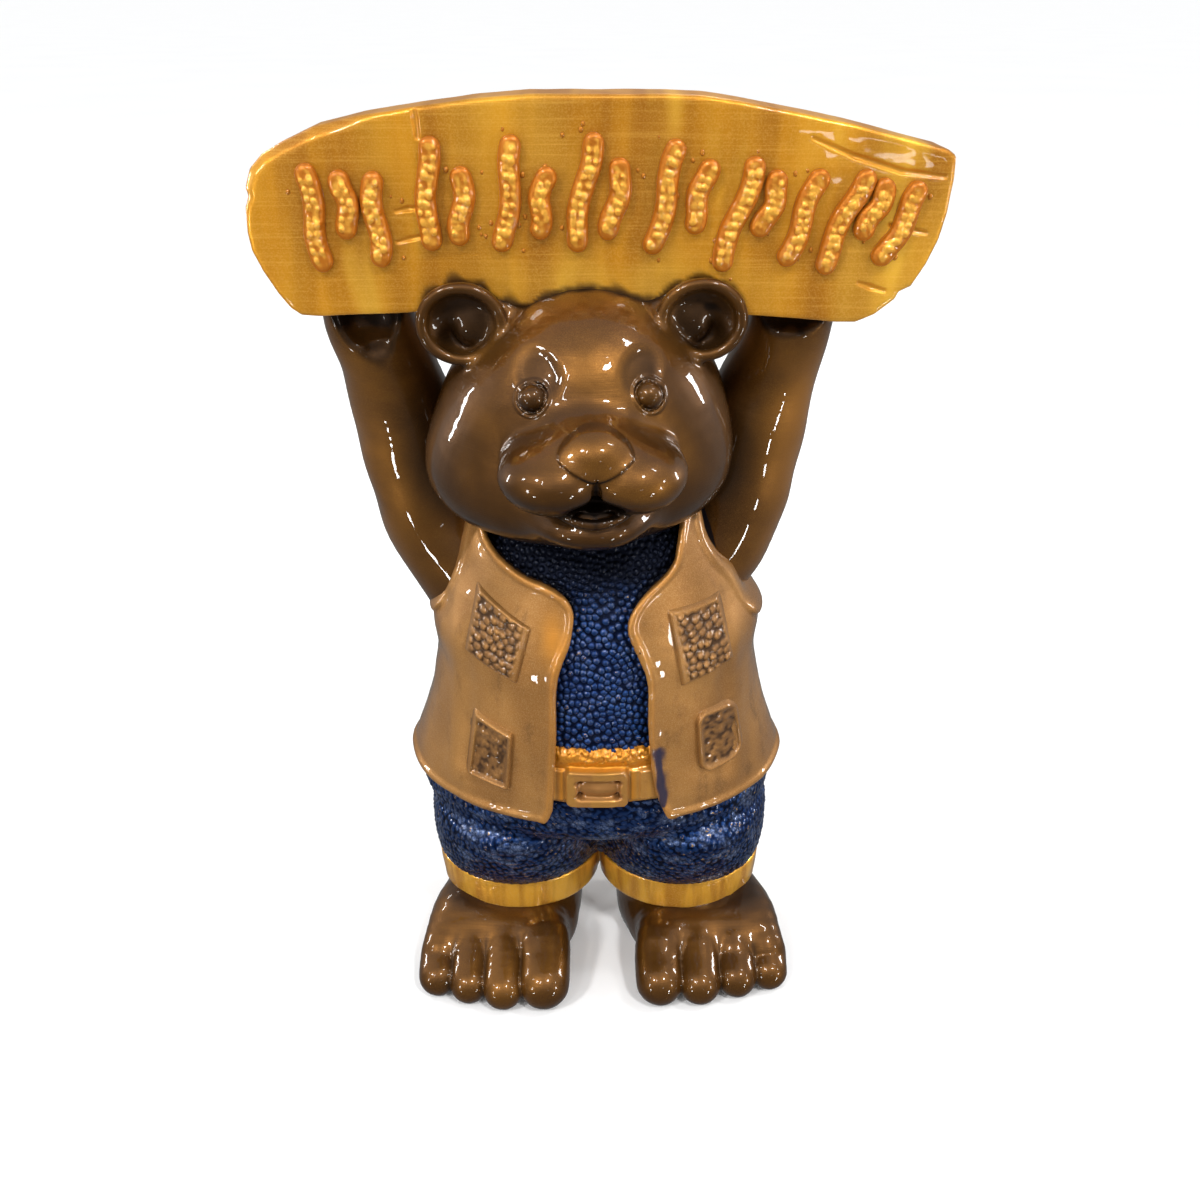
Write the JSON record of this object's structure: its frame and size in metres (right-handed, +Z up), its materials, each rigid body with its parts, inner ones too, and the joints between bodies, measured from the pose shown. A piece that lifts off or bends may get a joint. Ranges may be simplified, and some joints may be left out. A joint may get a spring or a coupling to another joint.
{
  "type": "bear statue with welcome sign",
  "caption": "Standing bear in an open vest and shorts, one painted and clear-coated casting, holding a wide plank sign over its head.",
  "frame": {"origin": "bottom centre of the statue's own box, on the surface that it stands on", "axes": "+Z up, the bear faces -Y, and its own left hand is on +X"},
  "size_m": [0.2176, 0.1286, 0.3348],
  "materials": {
    "bear_brown": "metallic brown paint under a thick clear gloss coat",
    "vest_bronze": "tan bronze paint with fine print lines under a clear gloss coat",
    "knit_blue": "deep blue paint over a looped knit relief with gold flecks, clear gloss coat",
    "trim_gold": "bright gold paint under a clear gloss coat",
    "sign_gold": "gold paint with soft vertical bands and fine scratches under a thick clear gloss coat"
  },
  "bodies": {
    "root": {"bear_statue": "bear_brown"}
  },
  "joints": []
}
